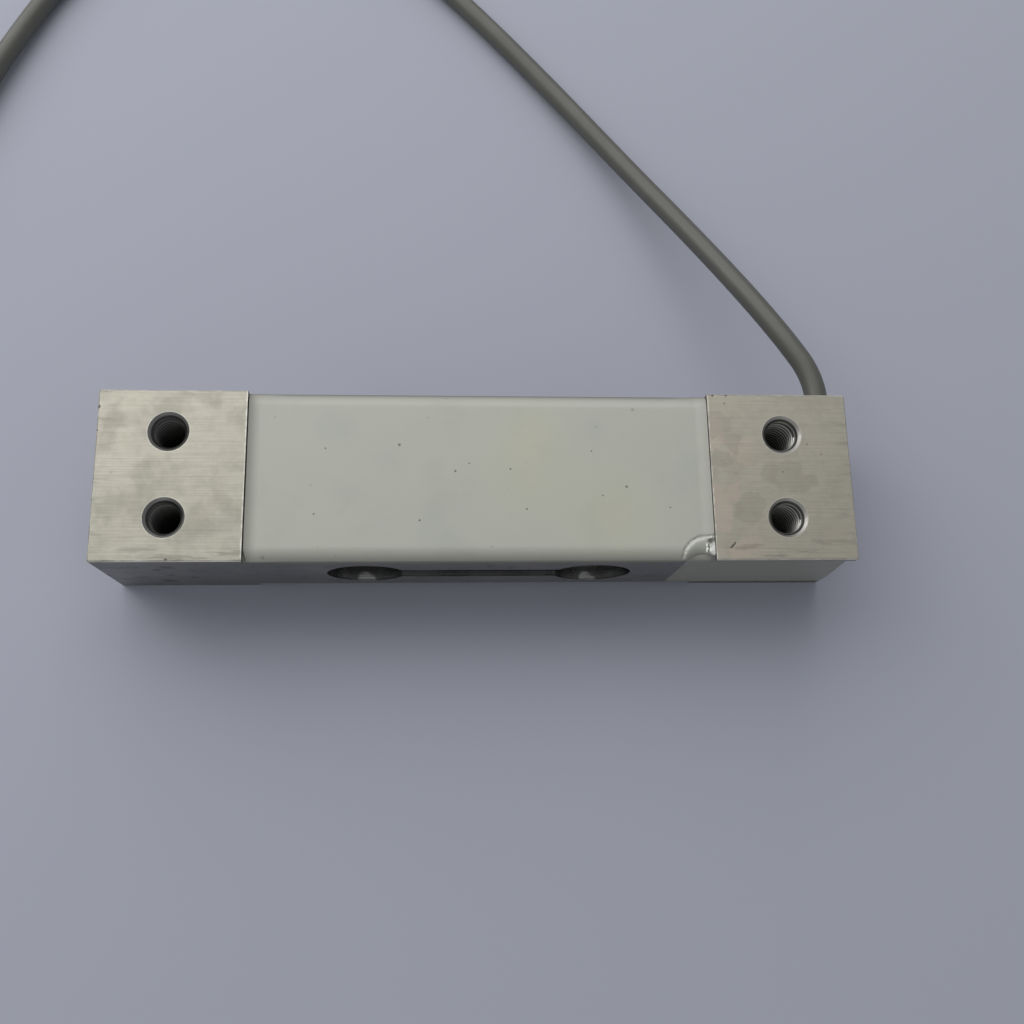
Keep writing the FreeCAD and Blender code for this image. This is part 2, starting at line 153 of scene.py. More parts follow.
def leadPoints():
    points = [Vector(point) for point in lead["route"]]
    centre = Vector(lead["coilCentre"])
    step = lead["coiled"] / lead["coilSteps"]
    spread = 1 / math.cos(math.radians(step / 2))     # the curve runs inside its points
    for i in range(lead["coilSteps"] + 1):
        travelled = i * step
        inward = min(max((travelled - lead["narrowsAfter"]) / lead["narrowsOver"], 0), 1)
        radius = lead["outerTurn"] + (lead["innerTurn"] - lead["outerTurn"]) * inward
        points.append(onTurn(centre, radius * spread, lead["coilStart"] - travelled))
    last = lead["coilStart"] - lead["coiled"]
    tailCentre = onTurn(centre, lead["innerTurn"] - lead["tailTurn"], last)
    tailStep = lead["tailBend"] / lead["tailSteps"]
    for i in range(1, lead["tailSteps"] + 1):
        points.append(onTurn(tailCentre, lead["tailTurn"], last - i * tailStep))
    points.append(onTurn(points[-1], lead["tailEnd"], last - lead["tailBend"] - 90))
    return points


def makeLead():
    curve = bpy.data.curves.new("cable", "CURVE")
    curve.dimensions = "3D"
    spline = curve.splines.new("NURBS")
    points = leadPoints()
    spline.points.add(len(points) - 1)
    for point, place in zip(spline.points, points):
        point.co = (*(place * mm), 1)
    spline.order_u = 3
    spline.use_endpoint_u = True
    spline.resolution_u = lead["alongSteps"]
    curve.bevel_depth = lead["size"] / 2 * mm
    curve.bevel_resolution = lead["roundSteps"]
    curve.use_fill_caps = True
    curve.materials.append(finishes["cable_jacket"])
    cable = bpy.data.objects.new("cable", curve)
    bpy.context.scene.collection.objects.link(cable)
    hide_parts("cable_tube", "cable_coil")
    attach(cable, "root")


def addNode(tree, kind, **settings):
    node = tree.nodes.new(kind)
    for name, value in settings.items():
        if name in node.inputs:
            node.inputs[name].default_value = value
        else:
            setattr(node, name, value)
    return node


def give(tree, socket, value):
    # link a socket, or set a colour or a number
    if hasattr(value, "is_linked"):
        tree.links.new(value, socket)
    elif socket.type == "RGBA":
        socket.default_value = (*value, 1)
    else:
        socket.default_value = value


def maths(tree, operation, first, second=None):
    node = tree.nodes.new("ShaderNodeMath")
    node.operation = operation
    give(tree, node.inputs[0], first)
    if second is not None:
        give(tree, node.inputs[1], second)
    return node.outputs[0]


def product(tree, first, *others):
    for value in others:
        first = maths(tree, "MULTIPLY", first, value)
    return first


def largest(tree, first, *others):
    for value in others:
        first = maths(tree, "MAXIMUM", first, value)
    return first


def axes(tree, vector):
    parts = tree.nodes.new("ShaderNodeSeparateXYZ")
    tree.links.new(vector, parts.inputs[0])
    return parts.outputs


def levelness(tree):
    # 1 on a level surface, 0 on an upright one
    normal = tree.nodes.new("ShaderNodeTexCoord").outputs["Normal"]
    return maths(tree, "ABSOLUTE", axes(tree, normal)[2])


def planDistance(tree, x, y, centre):
    flat = tree.nodes.new("ShaderNodeCombineXYZ")
    tree.links.new(x, flat.inputs["X"])
    tree.links.new(y, flat.inputs["Y"])
    gap = addNode(tree, "ShaderNodeVectorMath", operation="DISTANCE")
    tree.links.new(flat.outputs[0], gap.inputs[0])
    gap.inputs[1].default_value = (centre[0] * mm, centre[1] * mm, 0)
    return gap.outputs["Value"]


def within(tree, value, low, high):
    # a soft mask, full from high on; low may be the larger of the two
    band = addNode(tree, "ShaderNodeMapRange", interpolation_type="SMOOTHSTEP")
    tree.links.new(value, band.inputs["Value"])
    band.inputs["From Min"].default_value = low
    band.inputs["From Max"].default_value = high
    return band.outputs["Result"]


def withinMm(tree, value, low, high):
    return within(tree, value, low * mm, high * mm)


def newGroup(name, output, **inputs):
    # every group reads a place and gives one value
    group = bpy.data.node_groups.new(name, "ShaderNodeTree")
    for socket, value in {"Vector": (0, 0, 0), **inputs}.items():
        kind = "NodeSocketFloat" if isinstance(value, float) else "NodeSocketVector"
        made = group.interface.new_socket(socket, in_out="INPUT", socket_type=kind)
        made.default_value = value
    group.interface.new_socket(output, in_out="OUTPUT", socket_type="NodeSocketFloat")
    return group, group.nodes.new("NodeGroupInput").outputs, group.nodes.new("NodeGroupOutput").inputs


def makeLinesGroup():
    # long parallel cutter marks along one axis
    group, given, out = newGroup("cutterLines", "Value", Across=5000.0, Along=60.0)
    joined = group.nodes.new("ShaderNodeCombineXYZ")
    scales = (given["Along"], given["Across"], given["Across"])
    for axis, scale, socket in zip(axes(group, given["Vector"]), scales, joined.inputs):
        group.links.new(product(group, axis, scale), socket)
    grain = addNode(group, "ShaderNodeTexNoise", Scale=1.0, Detail=3.0, Roughness=0.6)
    group.links.new(joined.outputs[0], grain.inputs["Vector"])
    group.links.new(grain.outputs["Fac"], out["Value"])
    return group


def makeBlotchGroup():
    # soft-edged patches
    group, given, out = newGroup("blotches", "Mask", Scale=100.0, Low=0.45, High=0.65)
    cloud = addNode(group, "ShaderNodeTexNoise", Detail=4.0, Roughness=0.55)
    group.links.new(given["Vector"], cloud.inputs["Vector"])
    group.links.new(given["Scale"], cloud.inputs["Scale"])
    band = addNode(group, "ShaderNodeMapRange", interpolation_type="SMOOTHSTEP")
    group.links.new(cloud.outputs["Fac"], band.inputs["Value"])
    group.links.new(given["Low"], band.inputs["From Min"])
    group.links.new(given["High"], band.inputs["From Max"])
    group.links.new(band.outputs["Result"], out["Mask"])
    return group


def makeSpeckGroup():
    # scattered grains of dust, from 0.4 to 1.4 times Size, in a share of the cells
    group, given, out = newGroup("specks", "Mask", Scale=200.0, Size=0.08, Share=0.3)
    cells = addNode(group, "ShaderNodeTexVoronoi", feature="F1")
    group.links.new(given["Vector"], cells.inputs["Vector"])
    group.links.new(given["Scale"], cells.inputs["Scale"])
    draws = group.nodes.new("ShaderNodeSeparateColor")
    group.links.new(cells.outputs["Color"], draws.inputs[0])
    chosen = maths(group, "LESS_THAN", draws.outputs[0], given["Share"])
    reach = product(group, given["Size"], maths(group, "ADD", draws.outputs[1], 0.4))
    near = maths(group, "LESS_THAN", cells.outputs["Distance"], reach)
    group.links.new(product(group, chosen, near), out["Mask"])
    return group


def makeSpotGroup():
    # one soft round spot at a place
    group, given, out = newGroup("spot", "Mask", Place=(0, 0, 0), Inner=0.001, Outer=0.002)
    gap = addNode(group, "ShaderNodeVectorMath", operation="DISTANCE")
    group.links.new(given["Vector"], gap.inputs[0])
    group.links.new(given["Place"], gap.inputs[1])
    band = addNode(group, "ShaderNodeMapRange", interpolation_type="SMOOTHSTEP")
    band.inputs["To Min"].default_value = 1
    band.inputs["To Max"].default_value = 0
    group.links.new(gap.outputs["Value"], band.inputs["Value"])
    group.links.new(given["Inner"], band.inputs["From Min"])
    group.links.new(given["Outer"], band.inputs["From Max"])
    group.links.new(band.outputs["Result"], out["Mask"])
    return group


groups = {
    "lines": makeLinesGroup(),
    "blotches": makeBlotchGroup(),
    "specks": makeSpeckGroup(),
    "spot": makeSpotGroup(),
}


def useGroup(tree, name, vector, **values):
    node = tree.nodes.new("ShaderNodeGroup")
    node.node_tree = groups[name]
    tree.links.new(vector, node.inputs["Vector"])
    for socket, value in values.items():
        node.inputs[socket].default_value = value
    return node.outputs[0]


def cutterMarks(tree, place, marks):
    return useGroup(tree, "lines", place, Across=marks["across"], Along=marks["along"])


def patches(tree, place, patch):
    low, high = patch["fade"]
    return useGroup(tree, "blotches", place, Scale=patch["scale"], Low=low, High=high)


def grains(tree, place, grain):
    return useGroup(tree, "specks", place, Scale=grain["scale"], Size=grain["size"], Share=grain["share"])


def manySpots(tree, place, spots):
    # one mask for a list of small marks
    masks = [useGroup(tree, "spot", place, Place=tuple(value * mm for value in centre),
                      Inner=size * spots["soft"] * mm, Outer=size * mm)
             for centre, size in spots["marks"]]
    return largest(tree, *masks)


def fineNoise(tree, place, noiseScale, detail):
    grain = addNode(tree, "ShaderNodeTexNoise", Scale=noiseScale, Detail=detail)
    tree.links.new(place, grain.inputs["Vector"])
    return grain


def mixColour(tree, factor, first, second):
    node = tree.nodes.new("ShaderNodeMix")
    node.data_type = "RGBA"
    factorIn, firstIn, secondIn = node.inputs[0], node.inputs[6], node.inputs[7]
    give(tree, factorIn, factor)
    give(tree, firstIn, first)
    give(tree, secondIn, second)
    return node.outputs[2]


def tint(tree, colour, other, mask, amount):
    return mixColour(tree, product(tree, mask, amount), colour, other)


def newMaterial(name, roughness, metallic=0.0):
    material = bpy.data.materials.new(name)
    material.use_nodes = True
    tree = material.node_tree
    shader = tree.nodes["Principled BSDF"]
    shader.inputs["Roughness"].default_value = roughness
    shader.inputs["Metallic"].default_value = metallic
    place = tree.nodes.new("ShaderNodeTexCoord").outputs["Object"]
    return material, tree, shader, place


def addBump(tree, shader, height, depth, strength):
    bump = addNode(tree, "ShaderNodeBump", Strength=strength, Distance=depth * mm)
    tree.links.new(height, bump.inputs["Height"])
    tree.links.new(bump.outputs["Normal"], shader.inputs["Normal"])


aluminium = {
    "face": (0.43, 0.415, 0.36),
    "faceDark": (0.305, 0.295, 0.25),
    "faceDull": (0.46, 0.435, 0.37),      # the fixed end's block
    "faceDullDark": (0.355, 0.335, 0.285),
    "pink": (0.51, 0.445, 0.385),
    "scratch": (0.12, 0.115, 0.10),
    # upright faces: darker than the tops, partly their own finish and partly painted shade
    "side": (0.27, 0.265, 0.265),
    "sideDark": (0.15, 0.15, 0.15),
    "bore": (0.37, 0.37, 0.36),
    "boreDark": (0.24, 0.24, 0.235),
    # painted highlight: the glints in the bores
    "glint": (0.96, 0.96, 0.93),
    # painted shade and light in the holes: dark walls deep inside, and the load end's mouths and crests
    # darker than the fixed end's
    "mouth": (0.27, 0.27, 0.26),
    "mouthLit": (0.44, 0.43, 0.405),      # Lit: painted light, the fixed end's mouths and crests lighter than the load end's
    "holeShade": (0.13, 0.13, 0.125),
    "crest": (0.25, 0.25, 0.24),
    "crestLit": (0.55, 0.545, 0.52),
    # worn edges, partly painted highlight
    "edge": (0.74, 0.735, 0.69),
    "roughness": {"plain": 0.5, "cloud": 0.12, "holes": -0.10, "bores": -0.24},
    "relief": {"streaks": 0.8, "nicks": -9.0, "rings": 4.0, "depth": 0.025, "strength": 0.7},

    # where the faces and cuts of the beam lie, in mm
    "boxHalf": (65.0, 15.0, 11.0),
    "skin": 0.4,                          # this near the top or underside is an outer face,
    "outerAbove": 0.6,                    # if the surface is this level
    "steepBelow": 0.9,                    # a hole's wall or mouth is less level than this
    "boreZone": (34.0, 0.06, 2.5),        # half length, and how far inside the sides and faces
    "holes": (53.0, 7.5),
    "mouthRadius": 3.5,
    "mouthMargin": 0.02,
    "fixedEnd": (36.0, 40.0),             # its colours take over
    # rings round the holes, measured from the mouth's radius
    "mouthRing": (0.22, 0.06),
    "mouthCone": (-0.48, -0.40),
    "threadCrest": (-0.70, -0.82),

    # cutter marks: scale of the noise, the part of it that shows, and how strongly
    "fineLines": {"across": 5200.0, "along": 90.0, "shows": (0.40, 0.66), "amount": 0.30},
    "streaks": {"across": 1500.0, "along": 60.0, "shows": (0.52, 0.70), "amount": 0.20},
    "sideStreaks": {"shows": (0.45, 0.72), "amount": 0.35},
    "scores": {"across": 900.0, "along": 110.0, "shows": (0.55, 0.63), "amount": 0.35,
               "nearEdge": (-9.5, -14.0), "outerEnd": (60.0, 64.5), "endAmount": 0.6},
    "rings": {"scale": 4200.0, "detail": 1.0},
    "mottle": {"scale": 620.0, "fade": (0.40, 0.68), "amount": 0.28},
    "cloud": {"scale": 150.0, "fade": (0.46, 0.66), "amount": 0.15},
    "blush": {"scale": 210.0, "fade": (0.50, 0.60), "amount": 0.08,
              "strip": (50.0, 43.0), "stripAmount": 0.60},
    "smudge": {"scale": 330.0, "fade": (0.57, 0.68), "amount": 0.6},
    "grimeAndShade": {"scale": 420.0, "size": 0.10, "share": 0.14, "amount": 0.5},
    "uneven": {"scale": 330.0, "detail": 2.0, "reach": 4.5},      # ragged outlines
    "ringAmount": 0.25,
    "worn": {"rim": 0.3, "step": 40.1, "stepRim": 0.2, "fade": 0.2, "amount": 0.60},

    # knocks and dents on the outer edges and face: place, size
    "nicks": {"soft": 0.35, "amount": 0.85, "marks": [
        ((42.7, -12.8, 22), 0.24), ((42.95, -12.55, 22), 0.28), ((43.2, -12.3, 22), 0.26),
        ((43.4, -12.0, 22), 0.2), ((41.2, 14.9, 22), 0.45), ((43.6, 14.9, 22), 0.4),
        ((-64.9, 11.8, 22), 0.45), ((-64.9, 7.6, 22), 0.3), ((-52.2, -14.7, 22), 0.25),
    ]},
    # darker patches on the fixed end's face
    "stained": {"soft": 0.72, "amount": 0.50, "marks": [
        ((53.8, -0.4, 22), 3.3), ((50.8, 0.4, 22), 2.4), ((56.5, -1.2, 22), 2.0),
        ((46.2, -5.8, 22), 2.8), ((48.6, -4.6, 22), 1.8), ((41.6, 9.4, 22), 2.6),
        ((43.9, 6.4, 22), 2.3), ((41.5, 3.0, 22), 1.9),
    ]},
    # dark smears on the load end's near side
    "smears": {"soft": 0.3, "amount": 0.7, "marks": [
        ((-55.6, -15, 5.0), 1.9), ((-54.2, -15, 10.0), 1.3), ((-53.0, -15, 17.0), 1.6),
        ((-55.2, -15, 15.0), 1.2), ((-50.5, -15, 8.0), 1.0), ((-44.0, -15, 12.0), 0.9),
    ]},
    # painted glints: bright patches at the front of each bore's bottom, a painted reflection
    "paintedGlints": {"soft": 0.55, "marks": [
        ((-20.6, -14.7, 4.1), 1.7), ((-19.6, -15.0, 4.0), 1.3),
        ((19.7, -14.6, 4.1), 1.5), ((20.7, -15.1, 4.0), 1.2),
    ]},
}


def beamZones(tree, place):
    # masks and distances that say where on the beam a point lies
    x, y, z = axes(tree, place)
    halfY, halfZ = aluminium["boxHalf"][1:]
    absX = maths(tree, "ABSOLUTE", x)
    absY = maths(tree, "ABSOLUTE", y)
    absZ = maths(tree, "ABSOLUTE", maths(tree, "SUBTRACT", z, halfZ * mm))
    level = levelness(tree)
    boreX, boreY, boreZ = aluminium["boreZone"]
    fromHole = planDistance(tree, absX, absY, aluminium["holes"])
    wallReach = aluminium["mouthRadius"] + aluminium["mouthMargin"]
    return {
        "x": x, "y": y, "absX": absX, "absY": absY, "fromHole": fromHole,
        "outer": product(tree, maths(tree, "GREATER_THAN", level, aluminium["outerAbove"]),
                         maths(tree, "GREATER_THAN", absZ, (halfZ - aluminium["skin"]) * mm)),
        "inBore": product(tree, maths(tree, "LESS_THAN", absX, boreX * mm),
                          maths(tree, "LESS_THAN", absY, (halfY - boreY) * mm),
                          maths(tree, "LESS_THAN", absZ, (halfZ - boreZ) * mm)),
        "inHole": product(tree, maths(tree, "LESS_THAN", fromHole, wallReach * mm),
                          maths(tree, "LESS_THAN", level, aluminium["steepBelow"])),
        "fixedEnd": withinMm(tree, x, *aluminium["fixedEnd"]),
    }


def roundHole(tree, zones, name):
    start, end = aluminium[name]
    radius = aluminium["mouthRadius"]
    return withinMm(tree, zones["fromHole"], radius + start, radius + end)


def unevenPlace(tree, place):
    uneven = aluminium["uneven"]
    reach = uneven["reach"] * mm
    shift = fineNoise(tree, place, uneven["scale"], uneven["detail"])
    warped = addNode(tree, "ShaderNodeVectorMath", operation="MULTIPLY_ADD")
    tree.links.new(shift.outputs["Color"], warped.inputs[0])
    warped.inputs[1].default_value = (reach, reach, 0)
    tree.links.new(place, warped.inputs[2])
    centred = addNode(tree, "ShaderNodeVectorMath", operation="SUBTRACT")
    tree.links.new(warped.outputs[0], centred.inputs[0])
    centred.inputs[1].default_value = (reach / 2, reach / 2, 0)
    return centred.outputs[0]


def faceColour(tree, place, ragged, zones, marks):
    fixedEnd = zones["fixedEnd"]
    colour = mixColour(tree, fixedEnd, aluminium["face"], aluminium["faceDull"])
    dark = mixColour(tree, fixedEnd, aluminium["faceDark"], aluminium["faceDullDark"])
    for name in ("fineLines", "streaks"):
        shown = within(tree, marks[name], *aluminium[name]["shows"])
        colour = tint(tree, colour, dark, shown, aluminium[name]["amount"])
    for name in ("mottle", "cloud"):
        colour = tint(tree, colour, dark, marks[name], aluminium[name]["amount"])
    blush = aluminium["blush"]
    strip = product(tree, fixedEnd, withinMm(tree, zones["x"], *blush["strip"]), blush["stripAmount"])
    pinkish = maths(tree, "ADD", strip, blush["amount"])
    colour = tint(tree, colour, aluminium["pink"], patches(tree, place, blush), pinkish)
    stained = aluminium["stained"]
    colour = tint(tree, colour, aluminium["faceDullDark"], manySpots(tree, ragged, stained),
                  stained["amount"])
    # scored marks close to the near edge and the outer ends, and a few dark grains
    scores = aluminium["scores"]
    byEdge = largest(tree, withinMm(tree, zones["y"], *scores["nearEdge"]),
                     product(tree, withinMm(tree, zones["absX"], *scores["outerEnd"]),
                             scores["endAmount"]))
    scored = product(tree, within(tree, cutterMarks(tree, place, scores), *scores["shows"]), byEdge)
    colour = tint(tree, colour, aluminium["scratch"], scored, scores["amount"])
    grimeAndShade = aluminium["grimeAndShade"]
    colour = tint(tree, colour, aluminium["scratch"], grains(tree, place, grimeAndShade), grimeAndShade["amount"])
    # a pale ring round each hole's mouth, partly wear and partly painted highlight
    ring = product(tree, roundHole(tree, zones, "mouthRing"), zones["outer"])
    return tint(tree, colour, aluminium["edge"], ring, aluminium["ringAmount"])


def wornEdgesAndHighlight(tree, zones, mottle):
    # worn bright along the outer edges and the steps, partly painted highlight, with a ragged inner
    # border
    worn = aluminium["worn"]
    halfX, halfY = aluminium["boxHalf"][:2]
    rimX = maths(tree, "SUBTRACT", zones["absX"], (halfX - worn["rim"]) * mm)
    rimY = maths(tree, "SUBTRACT", zones["absY"], (halfY - worn["rim"]) * mm)
    fromStep = maths(tree, "ABSOLUTE", maths(tree, "SUBTRACT", zones["absX"], worn["step"] * mm))
    rimStep = maths(tree, "SUBTRACT", worn["stepRim"] * mm, fromStep)
    border = product(tree, maths(tree, "SUBTRACT", mottle, 0.5), worn["fade"] * mm)
    return withinMm(tree, maths(tree, "ADD", largest(tree, rimX, rimY, rimStep), border), 0, worn["fade"])


# the upright faces' colour, partly painted shade, with their streaks, smudges and smears
def sideColourAndShade(tree, place, ragged, marks):
    streaks, smudge, smears = aluminium["sideStreaks"], aluminium["smudge"], aluminium["smears"]
    colour = tint(tree, aluminium["side"], aluminium["sideDark"],
                  within(tree, marks["streaks"], *streaks["shows"]), streaks["amount"])
    colour = tint(tree, colour, aluminium["sideDark"], patches(tree, place, smudge), smudge["amount"])
    return tint(tree, colour, aluminium["scratch"], manySpots(tree, ragged, smears), smears["amount"])


def boringRings(tree, y):
    # the boring tool's marks, which run round the bores
    feed = tree.nodes.new("ShaderNodeCombineXYZ")
    tree.links.new(y, feed.inputs["Y"])
    rings = aluminium["rings"]
    return fineNoise(tree, feed.outputs[0], rings["scale"], rings["detail"]).outputs["Fac"]


# painted light and shade: dark walls deep in the holes, and the fixed end's mouths and crests lighter
def holeColour(tree, zones):
    crest = mixColour(tree, zones["fixedEnd"], aluminium["crest"], aluminium["crestLit"])
    mouth = mixColour(tree, zones["fixedEnd"], aluminium["mouth"], aluminium["mouthLit"])
    colour = mixColour(tree, roundHole(tree, zones, "threadCrest"), aluminium["holeShade"], crest)
    return mixColour(tree, roundHole(tree, zones, "mouthCone"), colour, mouth)


def makeAluminium():
    roughness, relief = aluminium["roughness"], aluminium["relief"]
    material, tree, shader, place = newMaterial("beamAluminium", roughness["plain"], metallic=1.0)
    zones = beamZones(tree, place)
    ragged = unevenPlace(tree, place)
    marks = {name: cutterMarks(tree, place, aluminium[name]) for name in ("fineLines", "streaks")}
    marks.update({name: patches(tree, place, aluminium[name]) for name in ("mottle", "cloud")})
    nicks = manySpots(tree, place, aluminium["nicks"])
    rings = boringRings(tree, zones["y"])

    face = faceColour(tree, place, ragged, zones, marks)
    face = tint(tree, face, aluminium["edge"], wornEdgesAndHighlight(tree, zones, marks["mottle"]),
                aluminium["worn"]["amount"])
    bored = mixColour(tree, rings, aluminium["bore"], aluminium["boreDark"])
    # painted glints near the front of each bore's bottom
    bored = mixColour(tree, manySpots(tree, place, aluminium["paintedGlints"]), bored, aluminium["glint"])
    colour = mixColour(tree, zones["outer"], sideColourAndShade(tree, place, ragged, marks), face)
    colour = mixColour(tree, zones["inBore"], colour, bored)
    colour = mixColour(tree, zones["inHole"], colour, holeColour(tree, zones))
    colour = tint(tree, colour, aluminium["scratch"], nicks, aluminium["nicks"]["amount"])
    tree.links.new(colour, shader.inputs["Base Color"])

    rough = roughness["plain"]
    for name, mask in (("cloud", marks["cloud"]), ("holes", zones["inHole"]), ("bores", zones["inBore"])):
        rough = maths(tree, "ADD", rough, product(tree, mask, roughness[name]))
    tree.links.new(rough, shader.inputs["Roughness"])

    height = maths(tree, "ADD", marks["fineLines"], product(tree, marks["streaks"], relief["streaks"]))
    height = maths(tree, "ADD", height, product(tree, nicks, relief["nicks"]))
    outside = maths(tree, "SUBTRACT", 1.0, largest(tree, zones["inHole"], zones["inBore"]))
    ringHeight = product(tree, rings, zones["inBore"], relief["rings"])
    height = maths(tree, "ADD", product(tree, height, outside), ringHeight)
    addBump(tree, shader, height, relief["depth"], relief["strength"])
    return material


silicone = {
    "colour": (0.445, 0.455, 0.405),
    "grimeAndShade": (0.10, 0.10, 0.095),         # painted shade at the very foot of the upright faces
    "cream": (0.50, 0.48, 0.36),
    "grey": (0.34, 0.36, 0.335),
    "shade": (0.25, 0.245, 0.22),         # painted shade on the upright faces, along the side edges and by the steps
    "freshSkinAndHighlight": (0.80, 0.81, 0.78),          # newly torn skin, and the painted highlight on the sagged rim
    "speck": (0.07, 0.06, 0.035),
    "roughness": 0.34,
    "glow": {"weight": 0.08, "reach": (1.0, 1.0, 0.9)},
    "relief": {"scale": 900.0, "detail": 3.0, "grit": 2.0, "depth": 0.03, "strength": 0.35},
    "cloudy": {"scale": 38.0, "fade": (0.40, 0.70), "amount": 0.16},
    "greyish": {"scale": 90.0, "fade": (0.48, 0.72), "amount": 0.30},
    "dust": {"scale": 300.0, "size": 0.085, "share": 0.20, "amount": 0.30},
    "fineDust": {"scale": 650.0, "size": 0.10, "share": 0.12, "amount": 0.22},
    # where the sagging corner starts, then bands measured from its radius
    "corner": (33.5, 34.0),
    # painted highlight on the rim, and painted shade in a ring outside it
    "rimHighlight": {"inner": (-1.1, -0.2), "outer": (0.2, 0.0), "amount": 0.20},
    "rimShade": {"inner": (0.0, 0.3), "outer": (0.9, 0.4), "amount": 0.22,
               "scale": 1400.0, "fade": (0.42, 0.60)},
    # painted shade by the steps, on the upright faces, at the side edges and at the foot
    "byStep": {"x": (38.0, 40.2), "amount": 0.65},
    "upright": {"levelness": (0.90, 0.15), "amount": 0.85},
    "edges": {"far": (12.9, 15.0), "near": (-11.8, -14.8), "nearAmount": 0.7},
    "foot": {"y": (14.68, 14.92), "above": (19.5, 20.0), "below": (1.7, 1.2), "amount": 0.85},
    "stains": {"amount": 0.30, "marks": [
        ((7.5, 0.5, 21.2), 13.0), ((9.0, 8.0, 21.2), 8.0), ((22.0, -5.5, 21.2), 14.0),
    ]},
    "grit": {"soft": 0.45, "amount": 0.70, "marks": [
        ((-14.1, 5.6, 21.2), 0.34), ((25.1, -1.8, 21.2), 0.32), ((-10.6, -7.8, 21.2), 0.26),
        ((-4.5, 0.9, 21.2), 0.28), ((5.0, 1.3, 21.2), 0.24), ((7.7, -5.8, 21.2), 0.24),
        ((-28.4, -6.7, 21.2), 0.24), ((20.9, -3.4, 21.2), 0.22), ((19.2, 4.6, 21.2), 0.2),
        ((-26.7, 4.9, 21.2), 0.22), ((32.6, -5.5, 21.2), 0.2), ((-2.1, 2.3, 21.2), 0.2),
    ]},
}


def cornerBand(tree, fromSag, band):
    radius = sag["radius"]
    return product(tree, *[withinMm(tree, fromSag, radius + start, radius + end)
                           for start, end in (band["inner"], band["outer"])])


def sagMarks(tree, place, x, y, colour):
    # painted highlight along the sagging corner's rim, and painted shade in a ragged ring round it
    sagX, sagY = sag["centre"]
    fromSag = planDistance(tree, maths(tree, "MINIMUM", x, sagX * mm), y, (sagX, sagY))
    atCorner = withinMm(tree, x, *silicone["corner"])
    rimHighlight, rimShade = silicone["rimHighlight"], silicone["rimShade"]
    rimHighlightMask = product(tree, cornerBand(tree, fromSag, rimHighlight), atCorner)
    ringShade = product(tree, cornerBand(tree, fromSag, rimShade), patches(tree, place, rimShade), atCorner)
    colour = tint(tree, colour, silicone["freshSkinAndHighlight"], rimHighlightMask, rimHighlight["amount"])
    return tint(tree, colour, silicone["speck"], ringShade, rimShade["amount"])


# painted shade: darker by the steps, on the upright faces, along the side edges and at the feet
def paintedShade(tree, x, y, z, colour):
    byStep, upright, edges, foot = (silicone[name] for name in ("byStep", "upright", "edges", "foot"))
    shade = silicone["shade"]
    absX = maths(tree, "ABSOLUTE", x)
    absY = maths(tree, "ABSOLUTE", y)
    colour = tint(tree, colour, shade, withinMm(tree, absX, *byStep["x"]), byStep["amount"])
    steep = within(tree, levelness(tree), *upright["levelness"])
    colour = tint(tree, colour, shade, steep, upright["amount"])
    shadeAlongEdges = largest(tree, withinMm(tree, y, *edges["far"]),
                         product(tree, withinMm(tree, y, *edges["near"]), edges["nearAmount"]))
    colour = mixColour(tree, shadeAlongEdges, colour, shade)
    shadeAtTopFoot = product(tree, withinMm(tree, absY, *foot["y"]), withinMm(tree, z, *foot["above"]))
    shadeAtFeet = largest(tree, shadeAtTopFoot, withinMm(tree, z, *foot["below"]))
    return tint(tree, colour, silicone["grimeAndShade"], shadeAtFeet, foot["amount"])


def makeSilicone():
    material, tree, shader, place = newMaterial("pottingSilicone", silicone["roughness"])
    x, y, z = axes(tree, place)
    greyish, cloudy = silicone["greyish"], silicone["cloudy"]
    colour = tint(tree, silicone["colour"], silicone["grey"], patches(tree, place, greyish),
                  greyish["amount"])
    colour = tint(tree, colour, silicone["cream"], patches(tree, place, cloudy), cloudy["amount"])
    stains = silicone["stains"]
    for mark in stains["marks"]:
        stain = manySpots(tree, place, {"marks": [mark], "soft": 0.0})
        colour = tint(tree, colour, silicone["cream"], stain, stains["amount"])
    colour = sagMarks(tree, place, x, y, colour)
    colour = paintedShade(tree, x, y, z, colour)
    grit = manySpots(tree, place, silicone["grit"])
    dust = [product(tree, grains(tree, place, silicone[name]), silicone[name]["amount"])
            for name in ("dust", "fineDust")]
    specks = largest(tree, *dust, product(tree, grit, silicone["grit"]["amount"]))
    colour = mixColour(tree, specks, colour, silicone["speck"])
    tree.links.new(colour, shader.inputs["Base Color"])
    glow, relief = silicone["glow"], silicone["relief"]
    shader.inputs["Subsurface Weight"].default_value = glow["weight"]
    shader.inputs["Subsurface Radius"].default_value = [reach * mm for reach in glow["reach"]]
    fine = fineNoise(tree, place, relief["scale"], relief["detail"])
    height = maths(tree, "ADD", fine.outputs["Fac"], product(tree, grit, relief["grit"]))
    addBump(tree, shader, height, relief["depth"], relief["strength"])
    return material


tornSkin = {"roughness": 0.5, "scale": 1500.0, "fade": (0.45, 0.62), "amount": 0.5,
            "depth": 0.08, "strength": 0.8}


def makeTornSkin():
    material, tree, shader, place = newMaterial("tornSkin", tornSkin["roughness"])
    uneven = patches(tree, place, tornSkin)
    colour = tint(tree, silicone["freshSkinAndHighlight"], silicone["grey"], uneven, tornSkin["amount"])
    tree.links.new(colour, shader.inputs["Base Color"])
    addBump(tree, shader, uneven, tornSkin["depth"], tornSkin["strength"])
    return material


jacket = {
    "colour": (0.088, 0.088, 0.078),
    "dull": (0.112, 0.112, 0.10),
    "roughness": 0.42,
    "worn": {"scale": 160.0, "fade": (0.45, 0.75), "amount": 0.5},
    "relief": {"scale": 2600.0, "detail": 2.0, "depth": 0.02, "strength": 0.4},
}


